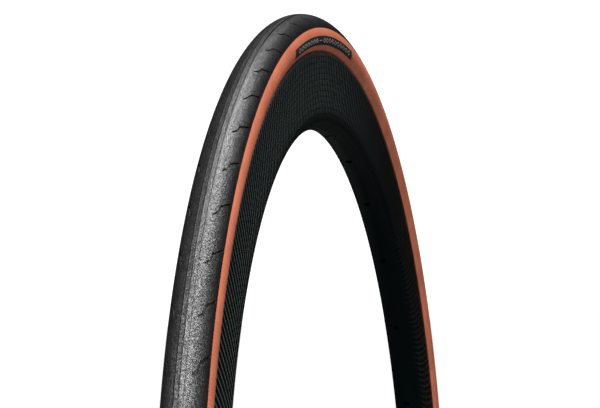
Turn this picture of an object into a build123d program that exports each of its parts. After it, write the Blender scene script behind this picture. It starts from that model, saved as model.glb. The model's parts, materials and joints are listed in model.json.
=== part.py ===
from build123d import *
from math import atan2, cos, degrees, hypot, radians, sin, sqrt
import os

os.makedirs("parts", exist_ok=True)

# A 28-622 clincher tyre seated on a deep hollow rim. Millimetres, +Z up, origin at the
# wheel centre, wheel axis along +Y. "left" is the -Y side and "right" is the +Y side.
# Every ring is a section turned about the wheel axis: in a section, x is the radius
# and y is the axial distance from the wheel's middle plane.

# ---- driving dimensions ----------------------------------------------------------------
bead_seat_radius = 311.0
section_height = 28.0
widest_depth = 15.0
tyre_half_width = 13.0
tyre_outer_radius = bead_seat_radius + section_height
widest_radius = tyre_outer_radius - widest_depth

sidewall_thickness = 0.9
cushion_thickness = 0.3
belt_thickness = 0.6
ply_thickness = 0.45
liner_thickness = 0.4

tread_centre_half_width = 4.6
belt_half_angle = 39.0
cushion_half_angle = 44.0
tread_edge_radius = 330.0
chafer_top_radius = 317.2

rim_edge_radius = 316.0
rim_edge_half_width = 10.5
rim_inner_half_width = 8.7
rim_flank_radius = 280.4
rim_flank_half_width = 9.7
rim_spoke_face_radius = 269.5
rim_well_radius = 306.8
rim_well_half_width = 3.2
rim_seat_half_width = 4.1
rim_wall = 1.8
rim_spoke_bed = 3.2

spoke_count = 28
spoke_hole_radius = 2.2
nipple_access_radius = 2.8
valve_hole_radius = 3.25

sipe_count = 70
sipe_first_angle = 3.14
sipe_width = 0.9
sipe_depth = 0.9

label_thickness = 0.15
label_start_angle = -18.5
label_end_angle = 8.8
label_low_radius = 319.8
label_high_radius = 325.2

seat_gap = 0.04
bead_toe_half_width = 4.25


# ---- the tyre's section curves ---------------------------------------------------------
# The outside is a crown arc, a side arc that ends at the widest point, a lower arc that
# turns in to the rim, and a hollow arc that passes round the rim's rounded edge. The
# casing under it is one round arc down to the widest point, and follows it from there.
lip_radius = (rim_edge_half_width - rim_inner_half_width) / 2
lip_centre = (rim_edge_radius - lip_radius, rim_edge_half_width - lip_radius)
lower_arc_radius = 10.25
lower_arc_centre = (widest_radius, tyre_half_width - lower_arc_radius)
to_lip = (lip_centre[0] - lower_arc_centre[0], lip_centre[1] - lower_arc_centre[1])
lip_distance = hypot(*to_lip)
to_lip = (to_lip[0] / lip_distance, to_lip[1] / lip_distance)
lower_arc_end = degrees(atan2(to_lip[1], to_lip[0]))
lip_clear_radius = lip_distance - lower_arc_radius


crown_arc_radius = 11.5
crown_centre = tyre_outer_radius - crown_arc_radius
crown_rise = crown_centre - widest_radius
side_arc_radius = (crown_rise**2 + tyre_half_width**2 - crown_arc_radius**2) / (
    2 * (tyre_half_width - crown_arc_radius)
)
side_arc_offset = tyre_half_width - side_arc_radius
crown_join_angle = degrees(atan2(side_arc_radius - tyre_half_width, crown_rise))
casing_radius = tyre_half_width - sidewall_thickness


def cover_arcs(depth, side):
    """One side's outer surface from the middle plane to the widest point, set in by a depth."""
    CenterArc((crown_centre, 0), crown_arc_radius - depth, 0, side * crown_join_angle)
    CenterArc(
        (widest_radius, side * side_arc_offset),
        side_arc_radius - depth,
        side * crown_join_angle,
        side * (90 - crown_join_angle),
    )


def casing_arcs(depth, side):
    """One side's round casing from the middle plane to the widest point, set in by a depth."""
    CenterArc((widest_radius, 0), casing_radius - depth, 0, side * 90)


def lower_arc(depth, side):
    """The arc from the widest point in towards the rim, set in by a depth."""
    CenterArc(
        (widest_radius, side * lower_arc_centre[1]),
        lower_arc_radius - depth,
        side * 90,
        side * (lower_arc_end - 90),
    )


def lip_arc(depth, side):
    """The hollow arc round the rim edge, set in by a depth."""
    start = lower_arc_end - 180
    CenterArc(
        (lip_centre[0], side * lip_centre[1]),
        lip_clear_radius + depth,
        side * start,
        side * (-90 - start),
    )


def outside_curve(depth, bottom_radius, heel_radius, side):
    """Widest point to bead toe along the outside of the bead."""
    lower_arc(depth, side)
    lip_arc(depth, side)
    wall = lip_centre[1] - lip_clear_radius - depth
    heel = bottom_radius + heel_radius
    Line((lip_centre[0], side * wall), (heel, side * wall))
    CenterArc(
        (heel, side * (wall - heel_radius)), heel_radius, side * 90, side * 90
    )
    Line(
        (bottom_radius, side * (wall - heel_radius)),
        (bottom_radius, side * bead_toe_half_width),
    )


def inner_leg(depth, wall):
    """Corner points of a layer that passes inside the bead core, for the right side."""
    reach = lower_arc_radius - depth
    join = (
        lower_arc_centre[0] + reach * to_lip[0],
        lower_arc_centre[1] + reach * to_lip[1],
    )
    run = (join[1] - wall) / -to_lip[0]
    return join, (join[0] - run * to_lip[1], wall)


def inside_curve(depth, wall, bottom_radius, side):
    """Middle plane to bead bottom along the inside of the bead core."""
    casing_arcs(depth - sidewall_thickness, side)
    lower_arc(depth, side)
    join, knee = inner_leg(depth, wall)
    Line((join[0], side * join[1]), (knee[0], side * wall))
    Line((knee[0], side * wall), (bottom_radius, side * wall))


# depths below the cover's outer surface, measured at the sidewall
ply_outer_depth = sidewall_thickness
ply_inner_depth = ply_outer_depth + ply_thickness
liner_depth = ply_inner_depth + ply_thickness
cavity_depth = liner_depth + liner_thickness

seat_surface = bead_seat_radius + seat_gap
chafer_foot = 0.5
ply_seat = seat_surface + chafer_foot
core_seat = ply_seat + ply_thickness
chafer_heel_radius = 1.1
ply_heel_radius = 0.6
core_heel_radius = 0.3

core_width = 2.0
core_height = 2.2
core_clearance = 0.03
turn_up_wall = lip_centre[1] - lip_clear_radius - ply_inner_depth
ply_inner_wall = turn_up_wall - core_width - 2 * core_clearance
liner_wall = ply_inner_wall - ply_thickness
cavity_wall = liner_wall - liner_thickness

# ---- shared section regions ------------------------------------------------------------
with BuildSketch(Plane.XY) as cover_region:
    with BuildLine():
        for side in (1, -1):
            cover_arcs(0, side)
            outside_curve(0, seat_surface, chafer_heel_radius, side)
            casing_arcs(0, side)
            outside_curve(ply_outer_depth, ply_seat, ply_heel_radius, side)
            toe = side * bead_toe_half_width
            Line((seat_surface, toe), (ply_seat, toe))
    make_face()


def crown_layer(inner_radius, thickness, half_angle):
    """Section of a layer that wraps over the top of the round casing."""
    with BuildSketch(Plane.XY, mode=Mode.PRIVATE) as layer:
        with BuildLine():
            arc_start = -half_angle
            inner = CenterArc((widest_radius, 0), inner_radius, arc_start, 2 * half_angle)
            outer = CenterArc(
                (widest_radius, 0), inner_radius + thickness, arc_start, 2 * half_angle
            )
            Line(inner @ 0, outer @ 0)
            Line(inner @ 1, outer @ 1)
        make_face()
    return layer.sketch


cushion_section = crown_layer(casing_radius, cushion_thickness, cushion_half_angle)
belt_section = crown_layer(
    casing_radius + cushion_thickness, belt_thickness, belt_half_angle
)

# ---- tread -----------------------------------------------------------------------------
groove_offset = 2.8
groove_width = 0.8
groove_depth = 0.9
middle_groove_width = 0.5
middle_groove_depth = 0.6

with BuildPart() as tread_centre:
    with BuildSketch(Plane.XY):
        add(cover_region.sketch)
        add(belt_section, mode=Mode.SUBTRACT)
        add(cushion_section, mode=Mode.SUBTRACT)
        with Locations((tyre_outer_radius, 0)):
            Rectangle(
                section_height, 2 * tread_centre_half_width, mode=Mode.INTERSECT
            )
            Rectangle(2 * middle_groove_depth, middle_groove_width, mode=Mode.SUBTRACT)
        crown_drop = crown_arc_radius - sqrt(crown_arc_radius**2 - groove_offset**2)
        groove_radius = tyre_outer_radius - crown_drop
        with Locations((groove_radius, groove_offset), (groove_radius, -groove_offset)):
            Rectangle(2 * groove_depth, groove_width, mode=Mode.SUBTRACT)
    revolve(axis=Axis.Y)

# the edge between tread and sidewall runs square to the outer surface
tread_edge_angle = atan2(
    sqrt(side_arc_radius**2 - (tread_edge_radius - widest_radius) ** 2),
    tread_edge_radius - widest_radius,
)
edge_reach = side_arc_radius + section_height
edge_near = (widest_radius, side_arc_offset)
edge_far = (
    widest_radius + edge_reach * cos(tread_edge_angle),
    side_arc_offset + edge_reach * sin(tread_edge_angle),
)
far_corner = (tyre_outer_radius + section_height, side_arc_offset)
tread_corner = (far_corner[0], edge_far[1])

with BuildSketch(Plane.XY) as shoulder_region:
    add(cover_region.sketch)
    add(belt_section, mode=Mode.SUBTRACT)
    add(cushion_section, mode=Mode.SUBTRACT)
    with BuildLine():
        Polyline(edge_near, edge_far, tread_corner, far_corner, close=True)
    make_face(mode=Mode.INTERSECT)
    with Locations((tyre_outer_radius, tread_centre_half_width - section_height)):
        Rectangle(2 * section_height, 2 * section_height, mode=Mode.SUBTRACT)

# zigzag drain cut: axial position and distance along the tread of its four corners
sipe_path = [(5.7, 0.0), (7.25, -2.1), (8.2, -6.5), (11.45, -11.6)]

with BuildPart() as sipe_cutter:
    with BuildSketch(Plane.YZ.offset(widest_radius)):
        with BuildLine():
            Polyline(*sipe_path)
        trace(line_width=sipe_width)
    extrude(amount=2 * section_height)

with BuildPart() as sipe_floor:
    with BuildSketch(Plane.XY):
        with BuildLine():
            cover_arcs(sipe_depth, 1)
            Polyline(
                (widest_radius, tyre_half_width - sipe_depth),
                (widest_radius, -tyre_half_width),
                (tyre_outer_radius - sipe_depth, -tyre_half_width),
                (tyre_outer_radius - sipe_depth, 0),
            )
        make_face()
    revolve(axis=Axis.Y)

with BuildPart() as sipe:
    add(sipe_cutter.part)
    add(sipe_floor.part, mode=Mode.SUBTRACT)

with BuildPart() as tread_shoulder_right:
    with BuildSketch(Plane.XY):
        add(shoulder_region.sketch)
    revolve(axis=Axis.Y)
    sipe_turns = [sipe_first_angle + 360 / sipe_count * n for n in range(sipe_count)]
    add([sipe.part.rotate(Axis.Y, turn) for turn in sipe_turns], mode=Mode.SUBTRACT)

with BuildPart() as tread_shoulder_left:
    mirror(tread_shoulder_right.part, about=Plane.XZ)

# ---- under the tread -------------------------------------------------------------------
with BuildPart() as puncture_belt:
    with BuildSketch(Plane.XY):
        add(belt_section)
    revolve(axis=Axis.Y)

with BuildPart() as cushion_rubber:
    with BuildSketch(Plane.XY):
        add(cushion_section)
    revolve(axis=Axis.Y)

# ---- sidewalls and chafers -------------------------------------------------------------
with BuildPart() as sidewall_right:
    with BuildSketch(Plane.XY):
        add(cover_region.sketch)
        with BuildLine():
            Polyline(
                edge_near,
                edge_far,
                (chafer_top_radius, edge_far[1]),
                (chafer_top_radius, 0),
                (widest_radius, 0),
                close=True,
            )
        make_face(mode=Mode.INTERSECT)
    revolve(axis=Axis.Y, revolution_arc=-360)

with BuildPart() as sidewall_left:
    mirror(sidewall_right.part, about=Plane.XZ)

with BuildPart() as chafer_right:
    with BuildSketch(Plane.XY):
        add(cover_region.sketch)
        with Locations((chafer_top_radius - section_height / 2, section_height / 2)):
            Rectangle(section_height, section_height, mode=Mode.INTERSECT)
    revolve(axis=Axis.Y)

with BuildPart() as chafer_left:
    mirror(chafer_right.part, about=Plane.XZ)

# ---- casing ----------------------------------------------------------------------------
with BuildPart() as casing_ply_outer:
    with BuildSketch(Plane.XY):
        with BuildLine():
            for side in (1, -1):
                casing_arcs(0, side)
                outside_curve(ply_outer_depth, ply_seat, ply_heel_radius, side)
                casing_arcs(ply_thickness, side)
                outside_curve(ply_inner_depth, core_seat, core_heel_radius, side)
                toe = side * bead_toe_half_width
                Line((ply_seat, toe), (core_seat, toe))
        make_face()
    revolve(axis=Axis.Y)

with BuildPart() as casing_ply_inner:
    with BuildSketch(Plane.XY):
        with BuildLine():
            for side in (1, -1):
                inside_curve(ply_inner_depth, ply_inner_wall, core_seat, side)
                inside_curve(liner_depth, liner_wall, core_seat, side)
                Line((core_seat, side * ply_inner_wall), (core_seat, side * liner_wall))
        make_face()
    revolve(axis=Axis.Y)

with BuildPart() as inner_liner:
    with BuildSketch(Plane.XY):
        with BuildLine():
            for side in (1, -1):
                inside_curve(liner_depth, liner_wall, core_seat, side)
                inside_curve(cavity_depth, cavity_wall, core_seat, side)
                Line((core_seat, side * liner_wall), (core_seat, side * cavity_wall))
        make_face()
    revolve(axis=Axis.Y)

# ---- beads -----------------------------------------------------------------------------
core_middle = turn_up_wall - core_clearance - core_width / 2
core_bottom = core_seat + core_clearance
core_corner_radius = 0.5
core_top = core_bottom + core_height

with BuildPart() as bead_core_right:
    with BuildSketch(Plane.XY):
        with Locations((core_bottom + core_height / 2, core_middle)):
            RectangleRounded(core_height, core_width, core_corner_radius)
    revolve(axis=Axis.Y)

with BuildPart() as bead_core_left:
    mirror(bead_core_right.part, about=Plane.XZ)

filler_bottom = core_top + core_clearance
filler_edge_radius = 0.15
filler_join, filler_knee = inner_leg(ply_inner_depth, ply_inner_wall)

with BuildPart() as bead_filler_right:
    with BuildSketch(Plane.XY) as filler_section:
        with BuildLine():
            lip_arc(ply_inner_depth, 1)
            Line((lip_centre[0], turn_up_wall), (filler_bottom, turn_up_wall))
            Line((filler_bottom, turn_up_wall), (filler_bottom, ply_inner_wall))
            Line((filler_bottom, ply_inner_wall), filler_knee)
            Line(filler_knee, filler_join)
        make_face()
        fillet(filler_section.vertices(), filler_edge_radius)
    revolve(axis=Axis.Y)

with BuildPart() as bead_filler_left:
    mirror(bead_filler_right.part, about=Plane.XZ)


# ---- labels ----------------------------------------------------------------------------
def wheel_plane(angle):
    """Section plane at an angle from the top of the wheel, positive towards +X."""
    turn = radians(angle)
    return Plane(
        origin=(0, 0, 0), x_dir=(sin(turn), 0, cos(turn)), z_dir=(-cos(turn), 0, sin(turn))
    )


label_foot = lower_arc_radius + label_thickness
label_middle_radius = (label_low_radius + label_high_radius) / 2

with BuildPart() as label_right:
    with BuildSketch(wheel_plane(label_start_angle)):
        with BuildLine():
            cover_arcs(-label_thickness, 1)
            lower_arc(-label_thickness, 1)
            cover_arcs(0, 1)
            lower_arc(0, 1)
            Line((tyre_outer_radius, 0), (tyre_outer_radius + label_thickness, 0))
            Line(
                (
                    lower_arc_centre[0] + lower_arc_radius * to_lip[0],
                    lower_arc_centre[1] + lower_arc_radius * to_lip[1],
                ),
                (
                    lower_arc_centre[0] + label_foot * to_lip[0],
                    lower_arc_centre[1] + label_foot * to_lip[1],
                ),
            )
        make_face()
        with Locations((label_middle_radius, tyre_half_width)):
            Rectangle(
                label_high_radius - label_low_radius, tyre_half_width, mode=Mode.INTERSECT
            )
    revolve(axis=Axis.Y, revolution_arc=label_end_angle - label_start_angle)

with BuildPart() as label_left:
    mirror(label_right.part, about=Plane.XZ)

# ---- rim -------------------------------------------------------------------------------
seat_corner_radius = 0.9
seat_corner = bead_seat_radius + seat_corner_radius
seat_corner_half_width = rim_inner_half_width - seat_corner_radius
spoke_face_depth = rim_flank_radius - rim_spoke_face_radius
cavity_flank_half_width = rim_flank_half_width - rim_wall
cavity_bottom_depth = spoke_face_depth - rim_spoke_bed
cavity_shoulder_radius = 308.0
cavity_roof_thickness = 2.2
cavity_roof_radius = rim_well_radius - cavity_roof_thickness
cavity_roof_half_width = 2.6
cavity_shoulder_half_width = 4.0
cavity_top_half_width = 8.3
bed_middle_radius = rim_well_radius - cavity_roof_thickness / 2


def spoke_hole_planes(radius):
    """Planes at the spoke angles, at one radius, that face away from the wheel's centre."""
    planes = []
    for n in range(spoke_count):
        turn = radians(360 / spoke_count * (n + 0.5))
        outward = (sin(turn), 0, cos(turn))
        planes.append(
            Plane(origin=(radius * outward[0], 0, radius * outward[2]), z_dir=outward)
        )
    return planes


valve_middle_radius = (rim_well_radius + rim_spoke_face_radius) / 2
valve_plane = Plane(origin=(0, 0, -valve_middle_radius), z_dir=(0, 0, -1))

with BuildPart() as rim_body:
    with BuildSketch(Plane.XY):
        with BuildLine():
            EllipticalCenterArc(
                (rim_flank_radius, 0), spoke_face_depth, rim_flank_half_width, 90, arc_size=180
            )
            for side in (1, -1):
                Line(
                    (rim_flank_radius, side * rim_flank_half_width),
                    (lip_centre[0], side * rim_edge_half_width),
                )
                CenterArc(
                    (lip_centre[0], side * lip_centre[1]), lip_radius, side * 90, -side * 180
                )
                Line(
                    (lip_centre[0], side * rim_inner_half_width),
                    (seat_corner, side * rim_inner_half_width),
                )
                CenterArc(
                    (seat_corner, side * seat_corner_half_width),
                    seat_corner_radius,
                    side * 90,
                    side * 90,
                )
                Polyline(
                    (bead_seat_radius, side * seat_corner_half_width),
                    (bead_seat_radius, side * rim_seat_half_width),
                    (rim_well_radius, side * rim_well_half_width),
                )
            Line(
                (rim_well_radius, rim_well_half_width),
                (rim_well_radius, -rim_well_half_width),
            )
        make_face()
        with BuildLine():
            EllipticalCenterArc(
                (rim_flank_radius, 0),
                cavity_bottom_depth,
                cavity_flank_half_width,
                90,
                arc_size=180,
            )
            for side in (1, -1):
                Polyline(
                    (rim_flank_radius, side * cavity_flank_half_width),
                    (cavity_shoulder_radius, side * cavity_top_half_width),
                    (cavity_shoulder_radius, side * cavity_shoulder_half_width),
                    (cavity_roof_radius, side * cavity_roof_half_width),
                    (cavity_roof_radius, 0),
                )
        make_face(mode=Mode.SUBTRACT)
    revolve(axis=Axis.Y)

    # spoke holes through the spoke face, wider access holes through the tyre bed
    with Locations(*spoke_hole_planes(rim_spoke_face_radius)):
        Cylinder(spoke_hole_radius, 2 * spoke_face_depth, mode=Mode.SUBTRACT)
    with Locations(*spoke_hole_planes(bed_middle_radius)):
        Cylinder(nipple_access_radius, 2 * spoke_face_depth, mode=Mode.SUBTRACT)
    with Locations(valve_plane):
        Cylinder(valve_hole_radius, 2 * section_height, mode=Mode.SUBTRACT)

tape_thickness = 0.35
tape_gap = 0.02

with BuildPart() as rim_tape:
    with BuildSketch(Plane.XY):
        with BuildLine():
            low = rim_well_radius + tape_gap
            slope_reach = rim_well_half_width - tape_gap
            Polyline(
                (bead_seat_radius, rim_seat_half_width - tape_gap),
                (low, slope_reach),
                (low, -slope_reach),
                (bead_seat_radius, tape_gap - rim_seat_half_width),
                (bead_seat_radius, tape_thickness - rim_seat_half_width),
                (low + tape_thickness, tape_thickness - slope_reach),
                (low + tape_thickness, slope_reach - tape_thickness),
                (bead_seat_radius, rim_seat_half_width - tape_thickness),
                close=True,
            )
        make_face()
    revolve(axis=Axis.Y)
    with Locations(valve_plane):
        Cylinder(valve_hole_radius, 2 * section_height, mode=Mode.SUBTRACT)

# ---- names and files -------------------------------------------------------------------
pieces = {
    "tread_centre": tread_centre,
    "tread_shoulder_left": tread_shoulder_left,
    "tread_shoulder_right": tread_shoulder_right,
    "puncture_belt": puncture_belt,
    "cushion_rubber": cushion_rubber,
    "casing_ply_outer": casing_ply_outer,
    "casing_ply_inner": casing_ply_inner,
    "inner_liner": inner_liner,
    "sidewall_left": sidewall_left,
    "sidewall_right": sidewall_right,
    "chafer_left": chafer_left,
    "chafer_right": chafer_right,
    "bead_core_left": bead_core_left,
    "bead_core_right": bead_core_right,
    "bead_filler_left": bead_filler_left,
    "bead_filler_right": bead_filler_right,
    "label_left": label_left,
    "label_right": label_right,
    "rim_body": rim_body,
    "rim_tape": rim_tape,
}
for name, piece in pieces.items():
    piece.part.label = name
    export_step(piece.part, f"parts/{name}.step")
    solids = piece.part.solids()
    print(name, len(solids), round(piece.part.volume, 1), piece.part.is_valid)
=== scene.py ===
import json
import math

import bmesh
import bpy
import numpy as np
from mathutils import Matrix, Vector


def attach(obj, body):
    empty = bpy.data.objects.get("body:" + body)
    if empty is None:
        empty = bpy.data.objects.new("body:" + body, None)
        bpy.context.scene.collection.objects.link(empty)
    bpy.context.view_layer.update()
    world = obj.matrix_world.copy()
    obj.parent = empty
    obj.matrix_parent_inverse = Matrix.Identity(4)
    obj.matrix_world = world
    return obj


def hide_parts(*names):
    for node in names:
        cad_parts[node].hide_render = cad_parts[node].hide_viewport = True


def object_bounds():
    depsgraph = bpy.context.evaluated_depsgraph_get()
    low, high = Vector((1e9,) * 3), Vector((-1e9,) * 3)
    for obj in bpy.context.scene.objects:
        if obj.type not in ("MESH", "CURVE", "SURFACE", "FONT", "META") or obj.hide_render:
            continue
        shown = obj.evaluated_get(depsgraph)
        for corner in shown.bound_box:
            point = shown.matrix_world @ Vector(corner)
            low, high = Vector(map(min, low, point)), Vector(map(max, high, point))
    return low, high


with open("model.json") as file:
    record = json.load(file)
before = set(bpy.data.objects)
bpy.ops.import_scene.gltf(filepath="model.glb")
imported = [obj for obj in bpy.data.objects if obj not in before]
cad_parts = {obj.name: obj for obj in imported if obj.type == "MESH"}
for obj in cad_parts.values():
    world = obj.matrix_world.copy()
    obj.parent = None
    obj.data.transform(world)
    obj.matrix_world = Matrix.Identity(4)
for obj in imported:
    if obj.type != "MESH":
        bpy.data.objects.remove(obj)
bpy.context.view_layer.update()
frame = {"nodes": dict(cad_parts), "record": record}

# Sections are in millimetres as (radius, axial position). Ring angles run from the top
# of the wheel, positive towards +X. The left side is -Y and the right side is +Y.
MM = 0.001
TURN = 2 * math.pi

# ---- driving dimensions, the same as the CAD part --------------------------------------
OUTER_R = 339.0
HALF_WIDTH = 13.0
WIDEST_R = 324.0
CROWN_ARC = 11.5
LOWER_ARC = 10.25
SIDEWALL = 0.9
CASING_ARC = HALF_WIDTH - SIDEWALL
CUSHION = 0.3
BELT = 0.6
BELT_ANGLE = math.radians(39.0)
CUSHION_ANGLE = math.radians(44.0)
CENTRE_HALF_WIDTH = 4.6
TREAD_EDGE_R = 330.0
CHAFER_TOP_R = 317.2
RIM_EDGE_R = 316.0
RIM_EDGE_HALF = 10.5
RIM_INNER_HALF = 8.7
LIP_R = (RIM_EDGE_HALF - RIM_INNER_HALF) / 2
LIP_CENTRE = (RIM_EDGE_R - LIP_R, RIM_EDGE_HALF - LIP_R)
SEAT_R = 311.0
SEAT_GAP = 0.04
TOE_HALF = 4.25
SIPES = 70
SPOKES = 28
LABEL_ANGLES = (-18.5, 8.8)
LABEL_RADII = (319.8, 325.2)
LABEL_FILM = 0.15


# ---- section curves ----------------------------------------------------------------------
def arc(centre, radius, start, end, count):
    """Points on an arc, with angles in radians from the radial direction."""
    a = np.linspace(start, end, count)
    return np.stack([centre[0] + radius * np.cos(a), centre[1] + radius * np.sin(a)], 1)


def crown_arcs(top, half_width, radius):
    """Centre, radius and join angle of the crown arc and of the side arc that meets it."""
    rise = top - WIDEST_R - radius
    side = (rise**2 + half_width**2 - radius**2) / (2 * (half_width - radius))
    join = math.atan2(side - half_width, rise)
    return (top - radius, 0.0), radius, (WIDEST_R, half_width - side), side, join


COVER = crown_arcs(OUTER_R, HALF_WIDTH, CROWN_ARC)


def half_at(radius):
    """Axial half width of the cover's side arc at a wheel radius."""
    centre, size = COVER[2], COVER[3]
    return centre[1] + math.sqrt(size**2 - (radius - centre[0]) ** 2)


def radius_at(half):
    """Wheel radius of the cover at an axial half width."""
    crown, size, side, side_size, join = COVER
    if half <= size * math.sin(join):
        return crown[0] + math.sqrt(size**2 - half**2)
    return side[0] + math.sqrt(side_size**2 - (half - side[1]) ** 2)


def section(halves):
    """Section points on the cover at the given axial half widths."""
    return np.array([(radius_at(h), h) for h in halves])


def over_casing(lift, angle):
    """A section point above the round casing, at an angle from the radial direction."""
    size = CASING_ARC + lift
    return WIDEST_R + size * math.cos(angle), size * math.sin(angle)


def edge_angle():
    """Angle on the casing where the border of tread and sidewall meets it."""
    slope = math.acos((TREAD_EDGE_R - WIDEST_R) / COVER[3])
    drop = -COVER[2][1]
    reach = drop * math.sin(slope)
    run = reach + math.sqrt(reach**2 + CASING_ARC**2 - drop**2)
    return math.acos(run * math.cos(slope) / CASING_ARC)


EDGE_ANGLE = edge_angle()


def lower_curve(depth, stop_radius, count):
    """The lower sidewall arc from the widest point down to a wheel radius."""
    centre = (WIDEST_R, HALF_WIDTH - LOWER_ARC)
    size = LOWER_ARC - depth
    end = math.acos(max(-1.0, (stop_radius - WIDEST_R) / size))
    return arc(centre, size, math.pi / 2, end, count)


# ---- meshes ------------------------------------------------------------------------------
def new_piece(name, verts, faces, material, smooth_angle=35.0):
    """A mesh object in metres from points in millimetres."""
    mesh = bpy.data.meshes.new(name)
    mesh.from_pydata((np.asarray(verts) * MM).tolist(), [], faces)
    mesh.validate()
    mesh.update()
    obj = bpy.data.objects.new(name, mesh)
    bpy.context.scene.collection.objects.link(obj)
    materials = material if isinstance(material, (list, tuple)) else [material]
    for item in materials:
        mesh.materials.append(item)
    mesh.shade_smooth()
    mesh.set_sharp_from_angle(angle=math.radians(smooth_angle))
    return obj


def to_wheel(radius, axial, angle):
    """Section point and ring angle to a point in space."""
    return np.stack([radius * np.sin(angle), axial, radius * np.cos(angle)], -1)


def grid_faces(rows, cols, close_rows=True, close_cols=True):
    """Quads of a grid of rows x cols vertices."""
    r = np.arange(rows if close_rows else rows - 1)
    c = np.arange(cols if close_cols else cols - 1)
    r, c = np.meshgrid(r, c, indexing="ij")
    r2, c2 = (r + 1) % rows, (c + 1) % cols
    quads = np.stack([r * cols + c, r2 * cols + c, r2 * cols + c2, r * cols + c2], -1)
    return quads.reshape(-1, 4).tolist()


def face_outward(obj):
    """Recalculates normals to point outward."""
    bm = bmesh.new()
    bm.from_mesh(obj.data)
    bmesh.ops.recalc_face_normals(bm, faces=bm.faces)
    bm.to_mesh(obj.data)
    bm.free()


def ring(name, loop, material, steps=720, smooth_angle=35.0):
    """A closed ring: a closed section loop turned about the wheel axis."""
    loop = np.asarray(loop, float)
    angle = np.arange(steps) * TURN / steps
    verts = to_wheel(
        np.broadcast_to(loop[:, 0], (steps, len(loop))),
        np.broadcast_to(loop[:, 1], (steps, len(loop))),
        np.broadcast_to(angle[:, None], (steps, len(loop))),
    ).reshape(-1, 3)
    obj = new_piece(name, verts, grid_faces(steps, len(loop)), material, smooth_angle)
    face_outward(obj)
    return obj


# ---- materials -----------------------------------------------------------------------------
class Nodes:
    """Small helper that adds and links shader nodes."""

    def __init__(self, name):
        self.material = bpy.data.materials.new(name)
        self.material.use_nodes = True
        self.tree = self.material.node_tree
        self.shader = self.tree.nodes["Principled BSDF"]
        self.place = self.add("ShaderNodeTexCoord").outputs["Object"]

    def add(self, kind, **settings):
        node = self.tree.nodes.new(kind)
        for key, value in settings.items():
            setattr(node, key, value)
        return node

    def link(self, output, target):
        self.tree.links.new(output, target)

    def put(self, socket, value):
        if isinstance(value, (int, float)):
            socket.default_value = value
        else:
            self.link(value, socket)

    def math(self, operation, a, b=0.0, c=0.0):
        node = self.add("ShaderNodeMath", operation=operation)
        for socket, value in zip(node.inputs, (a, b, c)):
            self.put(socket, value)
        return node.outputs[0]

    def noise(self, scale, detail=3.0, roughness=0.5):
        node = self.add("ShaderNodeTexNoise")
        node.inputs["Scale"].default_value = scale
        node.inputs["Detail"].default_value = detail
        node.inputs["Roughness"].default_value = roughness
        self.link(self.place, node.inputs["Vector"])
        return node.outputs["Fac"]

    def ramp(self, value, low, high, at=(0.3, 0.7)):
        node = self.add("ShaderNodeValToRGB")
        node.color_ramp.elements[0].position = at[0]
        node.color_ramp.elements[0].color = (*low, 1)
        node.color_ramp.elements[1].position = at[1]
        node.color_ramp.elements[1].color = (*high, 1)
        self.link(value, node.inputs["Fac"])
        return node.outputs["Color"]

    def span(self, value, low, high, out_low=0.0, out_high=1.0):
        node = self.add("ShaderNodeMapRange")
        self.link(value, node.inputs["Value"])
        for key, number in zip(
            ("From Min", "From Max", "To Min", "To Max"), (low, high, out_low, out_high)
        ):
            node.inputs[key].default_value = number
        return node.outputs["Result"]

    def bump(self, height, distance):
        node = self.add("ShaderNodeBump")
        node.inputs["Strength"].default_value = 1.0
        node.inputs["Distance"].default_value = distance
        self.link(height, node.inputs["Height"])
        self.link(node.outputs["Normal"], self.shader.inputs["Normal"])

    def polar(self):
        """Ring angle, wheel radius and axial position, in radians and metres."""
        split = self.add("ShaderNodeSeparateXYZ")
        self.link(self.place, split.inputs[0])
        x, y, z = split.outputs
        angle = self.math("ARCTAN2", x, z)
        squares = self.math("ADD", self.math("MULTIPLY", x, x), self.math("MULTIPLY", z, z))
        return angle, self.math("SQRT", squares), y


RUBBER_BLACK = (0.004, 0.004, 0.0042)
RUBBER_WORN = (0.007, 0.007, 0.0073)
RUBBER_ROUGHNESS = 0.37


def tread_rubber(name, grain_scale, grain_depth):
    """Black rubber with a mottled tone, a moulded grain and a matt outer border."""
    n = Nodes(name)
    tone = n.ramp(n.noise(90.0, 4.0), RUBBER_BLACK, RUBBER_WORN)
    n.link(tone, n.shader.inputs["Base Color"])
    smoothest = RUBBER_ROUGHNESS - 0.05
    roughest = RUBBER_ROUGHNESS + 0.07
    n.link(n.span(n.noise(350.0), 0.3, 0.7, smoothest, roughest), n.shader.inputs["Roughness"])
    n.bump(n.noise(grain_scale, 2.0, 0.7), grain_depth)
    _, radius, _ = n.polar()
    speckle = n.span(n.noise(1100.0, 1.0), 0.35, 0.65, 0.15, 0.85)
    border, crown = 0.3315, 0.3365
    matt_edge = n.span(radius, border, crown, 0.12, 1.0)
    n.link(n.math("MULTIPLY", speckle, matt_edge), n.shader.inputs["Specular IOR Level"])
    return n.material


def tan_rubber(name, low, high):
    """Tan rubber with faint cord lines that run square to the rim."""
    n = Nodes(name)
    angle, _, _ = n.polar()
    cords_per_radian = 980.0
    cords = n.math("SINE", n.math("MULTIPLY", angle, cords_per_radian))
    tone = n.math("ADD", n.math("MULTIPLY", cords, 0.05), n.noise(60.0, 5.0, 0.6))
    n.link(n.ramp(tone, low, high, (0.3, 0.72)), n.shader.inputs["Base Color"])
    n.shader.inputs["Roughness"].default_value = 0.62
    n.shader.inputs["Specular IOR Level"].default_value = 0.25
    height = n.math("ADD", n.math("MULTIPLY", cords, 0.25), n.noise(1500.0, 2.0))
    n.bump(height, 0.00008)
    return n.material


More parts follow.
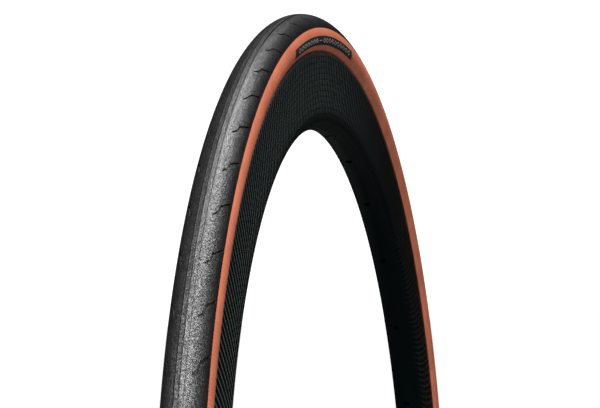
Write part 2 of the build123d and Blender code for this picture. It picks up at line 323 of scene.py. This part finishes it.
def woven_composite(name):
    """Dark woven composite: broken bright yarns that lean from the radial direction."""
    n = Nodes(name)
    angle, radius, _ = n.polar()
    flank_middle, yarn_pitch, row_pitch = 0.305, 0.0046, 0.0034
    lean_rate, lean_growth = 0.2, 130.0
    around = n.math("MULTIPLY", angle, flank_middle)
    inward = n.math("SUBTRACT", RIM_EDGE_R * MM, radius)
    cubed = n.math("POWER", n.math("MAXIMUM", inward, 0.0), 3.0)
    curve = n.math("MULTIPLY", cubed, lean_growth)
    lean = n.math("ADD", n.math("ADD", around, n.math("MULTIPLY", inward, lean_rate)), curve)
    yarn = n.math("SINE", n.math("MULTIPLY", lean, TURN / yarn_pitch))
    row = n.math("FRACT", n.math("MULTIPLY", radius, 1 / row_pitch))
    gap = n.math("ABSOLUTE", n.math("SUBTRACT", row, 0.5))
    weave = n.math("MULTIPLY", n.span(yarn, 0.3, 1.0), n.span(gap, 0.5, 0.3, 0.5))
    # fainter on the spoke face, and painted shade: the bright yarns fade towards the +X side of the
    # wheel
    flank = n.span(radius, 0.272, 0.284)
    weave = n.math("MULTIPLY", weave, n.span(flank, 0.0, 1.0, 0.15, 1.0))
    side = n.math("MULTIPLY", n.math("SINE", angle), radius)
    weave = n.math("MULTIPLY", weave, n.span(side, -0.02, 0.16, 1.0, 0.2))
    n.link(
        n.ramp(weave, (0.0004, 0.0014, 0.0016), (0.05, 0.06, 0.057), (0.05, 0.95)),
        n.shader.inputs["Base Color"],
    )
    n.link(n.span(weave, 0.0, 1.0, 0.42, 0.55), n.shader.inputs["Roughness"])
    edge = n.span(radius, 0.3125, 0.3155, 0.0, 0.5)
    shine = n.math("ADD", n.span(flank, 0.0, 1.0, 0.01, 0.03), edge)
    n.link(shine, n.shader.inputs["Specular IOR Level"])
    n.bump(weave, 0.0004)
    return n.material


def plain(name, low, high, roughness):
    """Even material with a slight mottle and a fine surface."""
    n = Nodes(name)
    mottle_scale = 400.0
    n.link(n.ramp(n.noise(mottle_scale), low, high), n.shader.inputs["Base Color"])
    n.shader.inputs["Roughness"].default_value = roughness
    n.bump(n.noise(mottle_scale * 4), 0.00005)
    return n.material


def cords(name, low, high, cords_per_radian):
    """Parallel slanted cords round the wheel."""
    n = Nodes(name)
    angle, radius, _ = n.polar()
    around = n.math("MULTIPLY", angle, cords_per_radian)
    slant = n.math("ADD", around, n.math("MULTIPLY", radius, 3000.0))
    wave = n.math("SINE", slant)
    n.link(n.ramp(n.span(wave, -1, 1), low, high), n.shader.inputs["Base Color"])
    n.shader.inputs["Roughness"].default_value = 0.7
    n.bump(wave, 0.0001)
    return n.material


centre_rubber = tread_rubber("centre_rubber", 1500.0, 0.0003)
shoulder_rubber = tread_rubber("shoulder_rubber", 1300.0, 0.0004)
tan = tan_rubber("tan_rubber", (0.25, 0.068, 0.033), (0.35, 0.1, 0.052))
cloth = tan_rubber("chafer_cloth", (0.2, 0.05, 0.022), (0.28, 0.075, 0.036))
label_film = plain("label_film", (0.004, 0.004, 0.0045), (0.008, 0.008, 0.0085), 0.6)
label_film.node_tree.nodes["Principled BSDF"].inputs["Specular IOR Level"].default_value = 0.2
label_print = plain("label_print", (0.15, 0.14, 0.135), (0.2, 0.19, 0.185), 0.6)
composite = woven_composite("woven_composite")


# ---- tread centre -----------------------------------------------------------------------------
GROOVE_AT, GROOVE_HALF, GROOVE_DEPTH = 2.8, 0.4, 0.9
MIDDLE_HALF, MIDDLE_DEPTH = 0.25, 0.6
GROOVE_NEAR, GROOVE_FAR = GROOVE_AT - GROOVE_HALF, GROOVE_AT + GROOVE_HALF
GROOVE_WALL = 0.06
KNURL_PITCH, KNURL_DEPTH = 1.5, 0.12
KNURL_COLUMNS, EDGE_COLUMNS, FLOOR_COLUMNS = 6, 5, 5


def tread_centre():
    """Centre band with three long grooves and a knurl between them."""
    wall = GROOVE_WALL
    halves = [0.0, MIDDLE_HALF - wall, MIDDLE_HALF]
    halves += list(np.linspace(MIDDLE_HALF + 0.25, GROOVE_NEAR - 0.25, KNURL_COLUMNS))
    halves += [GROOVE_NEAR, GROOVE_NEAR + wall, GROOVE_FAR - wall, GROOVE_FAR]
    halves += list(np.linspace(GROOVE_FAR + 0.2, CENTRE_HALF_WIDTH, EDGE_COLUMNS))
    across = np.array([-h for h in halves[:0:-1]] + halves)
    top = np.array([radius_at(abs(y)) for y in across])
    centre = np.array([COVER[0][0], 0.0])
    out = np.stack([top, across], 1) - centre
    out /= np.hypot(*out.T)[:, None]
    in_groove = np.abs(np.abs(across) - GROOVE_AT) < GROOVE_HALF - wall / 2
    groove = np.where(in_groove, GROOVE_DEPTH, 0.0)
    groove += np.where(np.abs(across) < MIDDLE_HALF - wall / 2, MIDDLE_DEPTH, 0.0)
    knurled = (groove == 0) & (np.abs(across) < GROOVE_NEAR - 0.1)
    knurled &= np.abs(across) > MIDDLE_HALF + 0.1
    rows = int(TURN * OUTER_R / KNURL_PITCH) * 2
    row = np.arange(rows)[:, None]
    col = np.arange(len(across))[None, :]
    knurl = np.where(knurled[None, :] & ((row + col) % 2 == 0), KNURL_DEPTH, 0.0)
    depth = groove[None, :] + knurl
    angle = np.broadcast_to(row * TURN / rows, depth.shape)
    radius = top[None, :] - depth * out[None, :, 0]
    axial = across[None, :] - depth * out[None, :, 1]
    floor_y = np.linspace(CENTRE_HALF_WIDTH, -CENTRE_HALF_WIDTH, FLOOR_COLUMNS)
    floor_r = WIDEST_R + np.sqrt((CASING_ARC + CUSHION + BELT) ** 2 - floor_y**2)
    size = (rows, FLOOR_COLUMNS)
    radius = np.concatenate([radius, np.broadcast_to(floor_r, size)], 1)
    axial = np.concatenate([axial, np.broadcast_to(floor_y, size)], 1)
    angle = np.concatenate([angle, np.broadcast_to(row * TURN / rows, size)], 1)
    verts = to_wheel(radius, axial, angle).reshape(-1, 3)
    faces = grid_faces(rows, radius.shape[1])
    obj = new_piece("tread_centre_band", verts, faces, centre_rubber, 40)
    face_outward(obj)
    return obj


# ---- tread shoulders --------------------------------------------------------------------------
# the path of a drain cut as (axial half width, distance round the wheel)
SIPE_PATH = [(5.7, 0.0), (7.25, 2.1), (8.2, 6.5), (11.45, 11.6)]
SIPE_HALF, SIPE_WALL, SIPE_DEPTH = 0.45, 0.12, 0.9
SIPE_START = math.radians(-66.29)
SIPE_CLEAR = 2.2
WIDEST_CUT = 3.4
# how far a cut reaches past the ends of its path, and the length over which it deepens
START_REACH, END_REACH, DEEPENING = 0.3, 0.15, 0.35
# mesh columns across the band, closer together where the cut starts, bends and ends
START_COLUMNS = [5.15, 5.45, 5.7, 5.95, 6.5]
BEND_COLUMNS = [7.0, 7.25, 7.4, 7.6, 7.85, 8.05, 8.2, 8.35]
END_COLUMNS = [11.3, 11.45, 11.6, 11.75]


def shoulder_columns():
    """Axial half widths of the shoulder's mesh columns, from the centre band outward."""
    straight = list(np.linspace(8.7, 11.1, 9))
    columns = [CENTRE_HALF_WIDTH] + START_COLUMNS + BEND_COLUMNS + straight + END_COLUMNS
    return np.array(columns + [half_at(TREAD_EDGE_R)])


def shoulder_floor():
    """Section points of the shoulder's underside, stepped over cushion and belt."""
    stack = CUSHION + BELT
    centre_angle = math.asin(CENTRE_HALF_WIDTH / (CASING_ARC + stack))
    steps = [
        (0.0, EDGE_ANGLE),
        (0.0, (EDGE_ANGLE + CUSHION_ANGLE) / 2),
        (0.0, CUSHION_ANGLE),
        (CUSHION, CUSHION_ANGLE),
        (CUSHION, BELT_ANGLE),
        (stack, BELT_ANGLE),
        (stack, (BELT_ANGLE + centre_angle) / 2),
        (stack, centre_angle),
    ]
    return np.array([over_casing(lift, angle) for lift, angle in steps])


def tread_shoulder(name, side):
    """Shoulder band with a zigzag drain cut in every pitch."""
    path_y, path_a = np.array(SIPE_PATH).T
    halves = shoulder_columns()
    points = section(halves)
    tangent = np.gradient(points, axis=0)
    tangent /= np.hypot(*tangent.T)[:, None]
    out = np.stack([tangent[:, 1], -tangent[:, 0]], 1)
    length = np.r_[0, np.cumsum(np.hypot(*np.diff(points, axis=0).T))]
    shift = np.interp(halves, path_y, path_a)
    # a cut that runs nearly along the tread is widened so that it stays equally wide across
    slope = np.gradient(shift, length)
    widen = np.clip(np.sqrt(1 + slope**2), 1.0, WIDEST_CUT)
    from_start = halves - path_y[0] + START_REACH
    from_end = path_y[-1] + END_REACH - halves
    inside = np.clip(np.minimum(from_start, from_end) / DEEPENING, 0, 1)
    pitch = TURN * OUTER_R / SIPES
    rim_of_cut = SIPE_HALF + SIPE_WALL
    near = np.array([-rim_of_cut, -SIPE_HALF, 0.0, SIPE_HALF, rim_of_cut])
    cut = np.array([0, 1, 1, 1, 0])
    far = np.linspace(SIPE_CLEAR, pitch / 2, 8)
    before, after = np.zeros(len(far)), np.zeros(len(far) - 1)
    rows_mm = np.concatenate([-far[::-1], near, far[:-1]])
    is_near = np.concatenate([before, np.ones(len(near)), after])
    depth_row = np.concatenate([before, cut, after])
    local = rows_mm[:, None] * np.where(is_near[:, None] > 0, widen[None, :], 1.0)
    local = local + shift[None, :]
    depth = depth_row[:, None] * inside[None, :] * SIPE_DEPTH
    step = TURN / SIPES
    angle = np.concatenate([SIPE_START + k * step + local / OUTER_R for k in range(SIPES)])
    depth = np.tile(depth, (SIPES, 1))
    radius = points[None, :, 0] - depth * out[None, :, 0]
    axial = points[None, :, 1] - depth * out[None, :, 1]
    floor = shoulder_floor()
    rows = len(angle)
    floor_shift = np.interp(floor[:, 1], halves, shift)
    plain_rows = np.concatenate(
        [SIPE_START + k * step + rows_mm / OUTER_R for k in range(SIPES)]
    )
    floor_angle = plain_rows[:, None] + floor_shift[None, :] / OUTER_R
    radius = np.concatenate([radius, np.broadcast_to(floor[:, 0], (rows, len(floor)))], 1)
    axial = np.concatenate([axial, np.broadcast_to(floor[:, 1], (rows, len(floor)))], 1)
    angle = np.concatenate([angle, floor_angle], 1)
    verts = to_wheel(radius, side * axial, angle).reshape(-1, 3)
    obj = new_piece(name, verts, grid_faces(rows, radius.shape[1]), shoulder_rubber, 40)
    face_outward(obj)
    return obj


# ---- sidewalls and chafers ----------------------------------------------------------------------
def mirrored(loop, side):
    """A section loop for one side."""
    return np.asarray(loop) * np.array([1, side])


def sidewall_loop():
    """Closed section of the tan sidewall, from its border with the tread to the chafer."""
    upper = section(np.linspace(half_at(TREAD_EDGE_R), HALF_WIDTH - 0.02, 14))
    outer = np.concatenate([upper, lower_curve(0.0, CHAFER_TOP_R, 20)[1:]])
    under = arc((WIDEST_R, 0.0), CASING_ARC, EDGE_ANGLE, math.pi / 2, 6)
    inner = np.concatenate([under, lower_curve(SIDEWALL, CHAFER_TOP_R, 8)[1:]])
    return np.concatenate([outer, inner[::-1]])


def chafer_loop():
    """Closed section of the cloth strip that wraps the bead and shows above the rim edge."""
    centre = (WIDEST_R, HALF_WIDTH - LOWER_ARC)
    to_lip = math.atan2(LIP_CENTRE[1] - centre[1], LIP_CENTRE[0] - centre[0])
    gap = math.hypot(LIP_CENTRE[0] - centre[0], LIP_CENTRE[1] - centre[1]) - LOWER_ARC
    foot, heel, inner_heel = 0.5, 1.1, 0.6
    seat = SEAT_R + SEAT_GAP
    drop = WIDEST_R - CHAFER_TOP_R
    outer_wall = LIP_CENTRE[1] - gap
    inner_wall = outer_wall - SIDEWALL
    reach = LOWER_ARC - SIDEWALL
    outer = np.concatenate(
        [
            [(CHAFER_TOP_R, centre[1] + math.sqrt(LOWER_ARC**2 - drop**2))],
            arc(LIP_CENTRE, gap, to_lip - math.pi, -math.pi / 2, 8),
            arc((seat + heel, outer_wall - heel), heel, math.pi / 2, math.pi, 6),
            [(seat, TOE_HALF)],
        ]
    )
    inner_corner = (seat + foot + inner_heel, inner_wall - inner_heel)
    inner = np.concatenate(
        [
            [(seat + foot, TOE_HALF)],
            arc(inner_corner, inner_heel, math.pi, math.pi / 2, 5),
            arc(LIP_CENTRE, gap + SIDEWALL, -math.pi / 2, to_lip - math.pi, 8),
            [(CHAFER_TOP_R, centre[1] + math.sqrt(reach**2 - drop**2))],
        ]
    )
    return np.concatenate([outer, inner])


# ---- labels ---------------------------------------------------------------------------------------
def skin_point(along, up, lift):
    """A point on the sidewall: distance round the wheel, wheel radius and lift off it."""
    above = up >= WIDEST_R
    size = COVER[3] if above else LOWER_ARC
    centre_y = COVER[2][1] if above else HALF_WIDTH - LOWER_ARC
    a = math.acos((up - WIDEST_R) / size)
    return (
        WIDEST_R + (size + lift) * math.cos(a),
        centre_y + (size + lift) * math.sin(a),
        along / WIDEST_R,
    )


def slab(corners, low, high, side, steps):
    """A thin closed slab on the sidewall between two lines of (along, radius) points."""
    verts, faces = [], []
    first, last = corners
    for lift in (low, high):
        for i in range(steps + 1):
            for line in (first, last):
                a, b = line
                w = i / steps
                along = a[0] + (b[0] - a[0]) * w
                up = a[1] + (b[1] - a[1]) * w
                r, y, t = skin_point(along, up, lift)
                verts.append((r * math.sin(t), side * y, r * math.cos(t)))
    n = 2 * (steps + 1)
    for i in range(steps):
        a, b, c, d = 2 * i, 2 * i + 1, 2 * i + 3, 2 * i + 2
        faces += [(a, b, c, d), (a + n, b + n, c + n, d + n)]
        faces += [(a, d, d + n, a + n), (b, c, c + n, b + n)]
    last_a, last_b = 2 * steps, 2 * steps + 1
    faces += [(0, 1, 1 + n, n), (last_a, last_b, last_b + n, last_a + n)]
    return verts, faces


FILM_BANDS, FILM_STEPS = 5, 90
PRINT_LOW, PRINT_HIGH = 0.1, 0.2
DIAMONDS_BEFORE, DIAMONDS_AFTER = 7, 10
DIAMOND_HALF, DIAMOND_TALL, DIAMOND_LINE = 3.4, 1.5, 0.42
DIAMOND_PITCH = 2.25
BAR_HALF, BAR_TALL, BAR_CLEAR = 3, 0.3, 10


def sidewall_label(name, side):
    """Black band with one row of outlined diamonds, in two groups with a bar between them."""
    start, end = (math.radians(a) * WIDEST_R for a in LABEL_ANGLES)
    low, high = LABEL_RADII
    verts, faces, prints = [], [], []

    def put(corners, low_lift, high_lift, steps, printed):
        v, f = slab(corners, low_lift, high_lift, side, steps)
        base = len(verts)
        verts.extend(v)
        faces.extend(tuple(i + base for i in face) for face in f)
        prints.extend([printed] * len(f))

    def strip(first, last, low_r, high_r):
        return ((first, low_r), (last, low_r)), ((first, high_r), (last, high_r))

    for b in range(FILM_BANDS):
        r0 = low + (high - low) * b / FILM_BANDS
        r1 = low + (high - low) * (b + 1) / FILM_BANDS
        put(strip(start, end, r0, r1), 0.0, LABEL_FILM, FILM_STEPS, 0)
    middle = (low + high) / 2
    centre = (start + end) / 2 - BAR_CLEAR

    def tips(at, share):
        half, tall = DIAMOND_HALF * share, DIAMOND_TALL * share
        return [(at - half, middle), (at, middle + tall), (at + half, middle), (at, middle - tall)]

    def diamond(at):
        outer = tips(at, 1)
        inner = tips(at, 1 - DIAMOND_LINE / DIAMOND_TALL)
        for n in range(4):
            m = (n + 1) % 4
            put(((outer[n], outer[m]), (inner[n], inner[m])), PRINT_LOW, PRINT_HIGH, 2, 1)

    for n in range(DIAMONDS_BEFORE):
        diamond(centre - BAR_CLEAR - n * DIAMOND_PITCH * DIAMOND_HALF)
    for n in range(DIAMONDS_AFTER):
        diamond(centre + BAR_CLEAR + n * DIAMOND_PITCH * DIAMOND_HALF)
    bar = strip(centre - BAR_HALF, centre + BAR_HALF, middle - BAR_TALL, middle + BAR_TALL)
    put(bar, PRINT_LOW, PRINT_HIGH, 3, 1)
    obj = new_piece(name, verts, faces, [label_film, label_print], 35)
    for polygon, printed in zip(obj.data.polygons, prints):
        polygon.material_index = printed
    face_outward(obj)
    return obj


# ---- rim --------------------------------------------------------------------------------------------
FLANK_R, FLANK_HALF, FACE_R = 280.4, 9.7, 269.5
WELL_R, WELL_HALF, SEAT_HALF = 306.8, 3.2, 4.1
WALL, BED, ROOF, SHOULDER_R = 1.8, 3.2, 2.2, 308.0
CAVITY_TOP_HALF, CAVITY_SHOULDER_HALF, CAVITY_ROOF_HALF = 8.3, 4.0, 2.6
SEAT_CORNER = 0.9
SPOKE_HOLE, ACCESS_HOLE, VALVE_HOLE = 2.2, 2.8, 3.25
HOLE_MARGIN = 5
RIM_STEPS = SPOKES * 14


def rim_outline():
    """Outer closed section of the rim."""
    a = np.linspace(math.pi / 2, 3 * math.pi / 2, 41)
    face = np.stack([FLANK_R + (FLANK_R - FACE_R) * np.cos(a), FLANK_HALF * np.sin(a)], 1)
    lip = arc(LIP_CENTRE, LIP_R, math.pi / 2, -math.pi / 2, 13)
    corner_at = (SEAT_R + SEAT_CORNER, RIM_INNER_HALF - SEAT_CORNER)
    corner = arc(corner_at, SEAT_CORNER, math.pi / 2, math.pi, 5)
    flank_r = np.linspace(FLANK_R, LIP_CENTRE[0], 9)
    flank_y = np.linspace(FLANK_HALF, RIM_EDGE_HALF, 9)
    flank = np.stack([flank_r, flank_y], 1)[1:-1]
    right = np.concatenate([flank, lip, corner, [(SEAT_R, SEAT_HALF), (WELL_R, WELL_HALF)]])
    left = right[::-1] * np.array([1, -1])
    return np.concatenate([right, left, face[::-1]])


def rim_cavity():
    """Closed section of the hollow inside the rim."""
    a = np.linspace(math.pi / 2, 3 * math.pi / 2, 25)
    depth = FLANK_R - FACE_R - BED
    floor = np.stack([FLANK_R + depth * np.cos(a), (FLANK_HALF - WALL) * np.sin(a)], 1)
    roof = WELL_R - ROOF
    shoulder = [(SHOULDER_R, CAVITY_TOP_HALF), (SHOULDER_R, CAVITY_SHOULDER_HALF)]
    right = np.array(shoulder + [(roof, CAVITY_ROOF_HALF)])
    left = right[::-1] * np.array([1, -1])
    return np.concatenate([right, left, floor[::-1]])


def round_cutters(places):
    """Round cutters that point away from the wheel's centre: (angle, radius, from, to)."""
    sides = 24
    turn = np.arange(sides) * TURN / sides
    verts, faces = [], []
    for angle, size, low, high in places:
        outward = np.array([math.sin(angle), 0, math.cos(angle)])
        along = np.array([math.cos(angle), 0, -math.sin(angle)])
        across = np.array([0, 1, 0])
        circle = size * (np.cos(turn)[:, None] * along + np.sin(turn)[:, None] * across)
        ends = np.concatenate([circle + low * outward, circle + high * outward])
        base = len(verts)
        verts += [tuple(point) for point in ends]
        first = range(base, base + sides)
        faces += [tuple(first), tuple(k + sides for k in first)]
        for k in range(sides):
            nxt = base + (k + 1) % sides
            faces.append((base + k, nxt, nxt + sides, base + k + sides))
    cutter = new_piece("cutter", verts, faces, composite)
    face_outward(cutter)
    return cutter


def cut(body, cutter):
    """Subtracts the cutter's mesh from the body's mesh."""
    change = body.modifiers.new("cut", "BOOLEAN")
    change.operation = "DIFFERENCE"
    change.solver = "EXACT"
    change.object = cutter
    graph = bpy.context.evaluated_depsgraph_get()
    mesh = bpy.data.meshes.new_from_object(body.evaluated_get(graph))
    body.modifiers.clear()
    body.data = mesh
    bpy.data.objects.remove(cutter)


def rim():
    """Hollow deep rim with spoke holes, access holes and a valve hole."""
    body = ring("deep_rim", rim_outline(), composite, RIM_STEPS, 40)
    cut(body, ring("cutter", rim_cavity(), composite, RIM_STEPS, 40))
    inside, outside = FACE_R - HOLE_MARGIN, SEAT_R + HOLE_MARGIN
    places = [(math.pi, VALVE_HOLE, inside, outside)]
    for n in range(SPOKES):
        at = TURN * (n + 0.5) / SPOKES
        places.append((at, SPOKE_HOLE, inside, FLANK_R))
        places.append((at, ACCESS_HOLE, WELL_R - 2 * ROOF, outside))
    cut(body, round_cutters(places))
    body.data.set_sharp_from_angle(angle=math.radians(40))
    return body


# ---- visible pieces: the mesh, the CAD node it stands for and its material slot ----------------------
tan_loop = sidewall_loop()
strip_loop = chafer_loop()
pieces = [
    (tread_centre(), "tread_centre", "tread_rubber"),
    (tread_shoulder("shoulder_band_left", -1), "tread_shoulder_left", "shoulder_rubber"),
    (tread_shoulder("shoulder_band_right", 1), "tread_shoulder_right", "shoulder_rubber"),
    (ring("tan_sidewall_left", mirrored(tan_loop, -1), tan), "sidewall_left", "tan_rubber"),
    (ring("tan_sidewall_right", mirrored(tan_loop, 1), tan), "sidewall_right", "tan_rubber"),
    (ring("rim_strip_left", mirrored(strip_loop, -1), cloth), "chafer_left", "chafer_fabric"),
    (ring("rim_strip_right", mirrored(strip_loop, 1), cloth), "chafer_right", "chafer_fabric"),
    (sidewall_label("side_label_left", -1), "label_left", "label_film"),
    (sidewall_label("side_label_right", 1), "label_right", "label_film"),
    (rim(), "rim_body", "rim_composite"),
]
for piece, node, slot in pieces:
    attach(piece, "root")
    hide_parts(node)

# hidden layers keep their CAD shape
hidden = {
    "belt_fabric": cords("belt_cord", (0.3, 0.2, 0.04), (0.55, 0.42, 0.12), 2600.0),
    "cushion_rubber": plain("cushion_gum", (0.02, 0.02, 0.02), (0.035, 0.035, 0.035), 0.7),
    "casing_fabric": cords("casing_cord", (0.35, 0.26, 0.16), (0.62, 0.5, 0.36), 3600.0),
    "liner_rubber": plain("liner_gum", (0.015, 0.015, 0.017), (0.03, 0.03, 0.03), 0.5),
    "bead_fibre": cords("bead_bundle", (0.4, 0.3, 0.06), (0.7, 0.55, 0.15), 900.0),
    "filler_rubber": plain("filler_gum", (0.02, 0.02, 0.02), (0.04, 0.04, 0.04), 0.65),
    "tape_film": plain("rim_tape_film", (0.5, 0.38, 0.06), (0.7, 0.55, 0.12), 0.4),
}
for row in frame["record"]["subparts"]:
    finish = hidden.get(row["material_slot"])
    if finish:
        obj = frame["nodes"][row["node"]]
        for holder in obj.material_slots:
            holder.material = finish

# ---- stage, light and camera -----------------------------------------------------------------------
floor_drop = 0.002
half_floor = 30.0
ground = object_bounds()[0][2] - floor_drop
floor_mesh = bpy.data.meshes.new("floor")
floor_mesh.from_pydata(
    [
        (-half_floor, -half_floor, ground),
        (half_floor, -half_floor, ground),
        (half_floor, half_floor, ground),
        (-half_floor, half_floor, ground),
    ],
    [],
    [(0, 1, 2, 3)],
)
floor = bpy.data.objects.new("floor", floor_mesh)
bpy.context.scene.collection.objects.link(floor)
floor_look = Nodes("floor_paint")
floor_look.link(
    floor_look.ramp(floor_look.noise(0.5), (0.36, 0.36, 0.36), (0.4, 0.4, 0.4)),
    floor_look.shader.inputs["Base Color"],
)
floor_look.shader.inputs["Roughness"].default_value = 0.9
# the floor glows white for the camera only, so none of that light reaches the object
floor_look.shader.inputs["Emission Color"].default_value = (1, 1, 1, 1)
floor_rays = floor_look.add("ShaderNodeLightPath").outputs["Is Camera Ray"]
floor_look.link(floor_rays, floor_look.shader.inputs["Emission Strength"])
floor_mesh.materials.append(floor_look.material)

world = bpy.data.worlds.new("studio")
bpy.context.scene.world = world
world.use_nodes = True
sky = world.node_tree.nodes["Background"]
rays = world.node_tree.nodes.new("ShaderNodeLightPath")
mix = world.node_tree.nodes.new("ShaderNodeMapRange")
world.node_tree.links.new(rays.outputs["Is Camera Ray"], mix.inputs["Value"])
# the camera sees a bright background, and the object only a faint light from it
fill_strength, background_strength = 0.012, 1.3
mix.inputs["To Min"].default_value = fill_strength
mix.inputs["To Max"].default_value = background_strength
bpy.context.scene.view_settings.view_transform = "Standard"
world.node_tree.links.new(mix.outputs["Result"], sky.inputs["Strength"])
sky.inputs["Color"].default_value = (1, 1, 1, 1)


def area_light(name, place, target, size, power):
    """A rectangular soft light aimed at a point, with its power in watts."""
    data = bpy.data.lights.new(name, "AREA")
    data.shape = "RECTANGLE"
    data.size, data.size_y = size
    data.energy = power
    lamp = bpy.data.objects.new(name, data)
    bpy.context.scene.collection.objects.link(lamp)
    lamp.location = place
    direction = Vector(target) - Vector(place)
    lamp.rotation_euler = direction.to_track_quat("-Z", "Y").to_euler()


area_light("key", (-1.4, -0.15, 1.0), (-0.28, 0, 0.15), (0.4, 0.9), 60.0)
area_light("overhead", (-0.05, -0.35, 1.6), (-0.15, 0, 0.25), (0.5, 0.6), 40.0)
area_light("side", (-0.7, -1.7, 1.2), (-0.1, 0, 0.2), (0.6, 0.6), 13.0)
area_light("far_side", (-1.7, 1.25, 0.7), (-0.1, 0, 0.1), (0.5, 0.8), 14.0)

# the photograph's viewpoint
yaw, pitch, roll = 1.3386, 0.0346, -0.0358
eye = (-1.3822, -0.3148, 0.1763)
level_share = math.cos(pitch)
forward = Vector((math.sin(yaw) * level_share, math.cos(yaw) * level_share, math.sin(pitch)))
level = Vector((math.cos(yaw), -math.sin(yaw), 0))
upright = level.cross(forward)
right = level * math.cos(roll) + upright * math.sin(roll)
up = upright * math.cos(roll) - level * math.sin(roll)
camera_data = bpy.data.cameras.new("camera")
camera_data.sensor_width = 36.0
camera_data.lens = 140.27
camera = bpy.data.objects.new("camera", camera_data)
bpy.context.scene.collection.objects.link(camera)
turn = Matrix((right, up, -forward)).transposed().to_4x4()
camera.matrix_world = Matrix.Translation(eye) @ turn
bpy.context.scene.camera = camera
